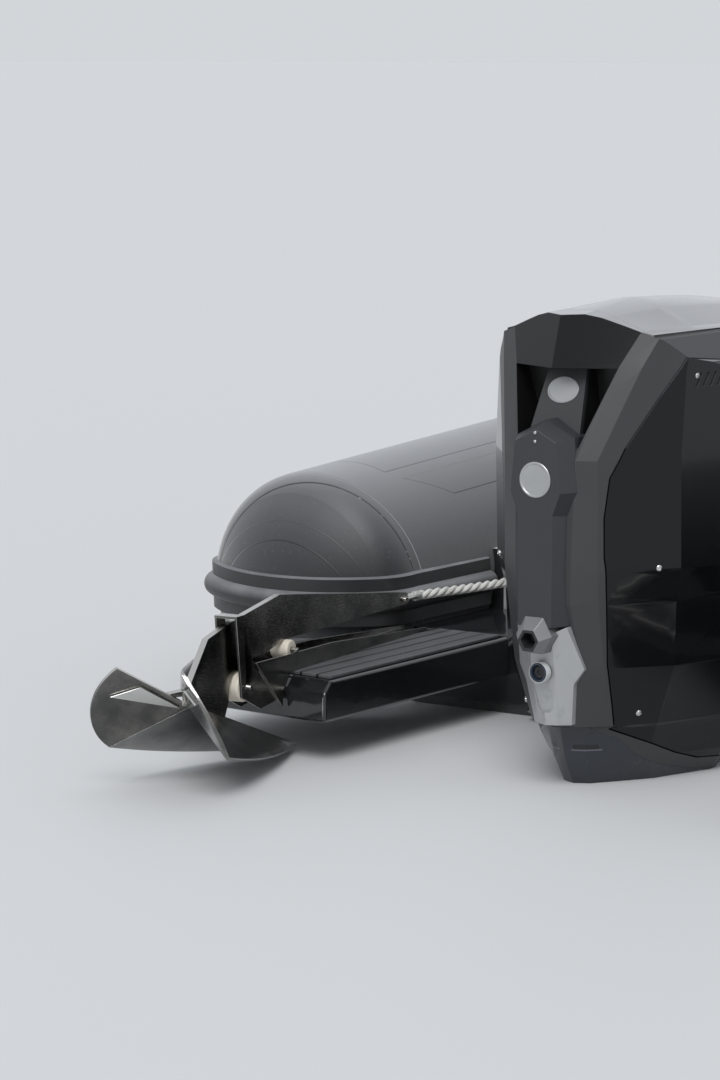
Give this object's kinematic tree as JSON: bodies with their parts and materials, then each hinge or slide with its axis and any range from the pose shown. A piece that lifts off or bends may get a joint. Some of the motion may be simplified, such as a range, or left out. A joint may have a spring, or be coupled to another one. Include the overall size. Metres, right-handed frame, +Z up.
{
  "type": "rigid inflatable boat with outboard motor",
  "caption": "Open rigid inflatable boat with charcoal tubes, a centre console, swim platforms, a stern anchor and an outboard motor that tilts and steers.",
  "frame": {"origin": "on the centreline where the transom meets the waterline", "axes": "+X forward along the hull, +Y to port, +Z up from the waterline"},
  "size_m": [8.5391, 3.0638, 2.497],
  "materials": {
    "gelcoat": "gloss gelcoat",
    "black_gelcoat": "gloss gelcoat",
    "hypalon": "matte coated fabric",
    "rail_rubber": "satin ribbed rubber",
    "deck_teak": "brushed synthetic teak",
    "upholstery": "padded marine vinyl",
    "acrylic": "smoked acrylic",
    "wheel_grip": "soft grip",
    "dash_black": "satin",
    "stainless": "polished stainless steel",
    "nylon": "moulded nylon",
    "motor_paint": "satin paint",
    "cowl_blue": "satin paint",
    "cowl_matte": "fine matte moulding",
    "cowl_gloss": "gloss moulding",
    "cowl_silver": "satin silver paint",
    "engine": "cast block",
    "ram_metal": "satin paint",
    "handle_rubber": "moulded rubber",
    "rope": "braided rope"
  },
  "bodies": {
    "hull": {"anchor": "stainless", "anchor_bracket": "stainless", "anchor_rode": "rope", "anchor_rollers": "nylon", "bench_back_cushion": "upholstery", "bench_back_frame": "gelcoat", "bow_eye": "stainless", "bow_head_cushion": "upholstery", "clamp_brackets": "motor_paint", "cleats": "stainless", "cockpit_pads": "deck_teak", "console": "gelcoat", "console_cushion": "upholstery", "console_rail": "stainless", "console_seat": "gelcoat", "dash_panel": "dash_black", "helm_backs": "upholstery", "helm_cushions": "upholstery", "helm_pod": "gelcoat", "hull": "gelcoat", "ladder_lugs": "stainless", "lid_hinges": "stainless", "mooring_post": "stainless", "platform_pads": "deck_teak", "platform_port": "black_gelcoat", "platform_starboard": "black_gelcoat", "rubrail_port": "rail_rubber", "rubrail_starboard": "rail_rubber", "stern_bench": "gelcoat", "stern_eyes": "stainless", "throttle": "dash_black", "tube_handles": "handle_rubber", "tube_port": "hypalon", "tube_starboard": "hypalon", "wheel_column": "dash_black", "windscreen": "acrylic"},
    "motor_bracket": {"swivel_bracket": "motor_paint"},
    "motor": {"midsection": "motor_paint", "gearcase": "motor_paint", "lower_cowl": "cowl_blue", "cowl_frame": "cowl_matte", "cowl_spine": "cowl_matte", "powerhead": "engine", "cowl_top": "cowl_gloss", "cowl_visor": "cowl_gloss", "cowl_side_panels": "cowl_gloss", "cowl_panel": "cowl_silver"},
    "propeller": {"propeller": "stainless"},
    "ram_cylinder": {"ram_cylinder": "ram_metal"},
    "ram_rod": {"ram_rod": "stainless"},
    "steering_wheel": {"steering_wheel": "wheel_grip"},
    "bench_lid": {"bench_lid": "gelcoat", "bench_cushion": "upholstery"},
    "bow_lid": {"bow_lid": "gelcoat", "bow_cushion": "upholstery"},
    "boarding_ladder": {"boarding_ladder": "stainless"}
  },
  "joints": [
    {"name": "motor_tilt", "type": "hinge", "parent": "hull", "child": "motor_bracket", "pos_m": [-0.02, 0, 0.285], "axis": [0, 1, 0], "range_deg": [-3, 62]},
    {"name": "motor_steer", "type": "hinge", "parent": "motor_bracket", "child": "motor", "pos_m": [-0.19, 0, 0], "axis": [0, 0, 1], "range_deg": [-30, 30]},
    {"name": "propeller_spin", "type": "hinge", "parent": "motor", "child": "propeller", "pos_m": [-0.715, 0, -0.62], "axis": [1, 0, 0], "continuous": true},
    {"name": "ram_swing", "type": "hinge", "parent": "hull", "child": "ram_cylinder", "pos_m": [-0.03, 0, -0.25], "axis": [0, 1, 0], "range_deg": [-4, 6]},
    {"name": "ram_extend", "type": "slide", "parent": "ram_cylinder", "child": "ram_rod", "axis": [-0.1867, 0, 0.9824], "range_m": [-0.015, 0.13]},
    {"name": "wheel_turn", "type": "hinge", "parent": "hull", "child": "steering_wheel", "pos_m": [2.79, 0, 0.99], "axis": [0.866, 0, -0.5], "range_deg": [-600, 600]},
    {"name": "bench_lid_lift", "type": "hinge", "parent": "hull", "child": "bench_lid", "pos_m": [1.528, 0, 0.5], "axis": [0, 1, 0], "range_deg": [0, 80]},
    {"name": "bow_lid_lift", "type": "hinge", "parent": "hull", "child": "bow_lid", "pos_m": [4.79724, 0, 0.408], "axis": [0, -1, 0], "range_deg": [0, 80]},
    {"name": "ladder_fold", "type": "hinge", "parent": "hull", "child": "boarding_ladder", "pos_m": [-0.846, -0.72, 0.214], "axis": [0, -1, 0], "range_deg": [0, 250]}
  ],
  "couplings": [
    {"joint": "wheel_turn", "follows": "motor_steer", "ratio": 20},
    {"joint": "ram_swing", "follows": "motor_tilt", "ratio": 0.055},
    {"joint": "ram_extend", "follows": "motor_tilt", "m_per_rad": 0.1025}
  ]
}
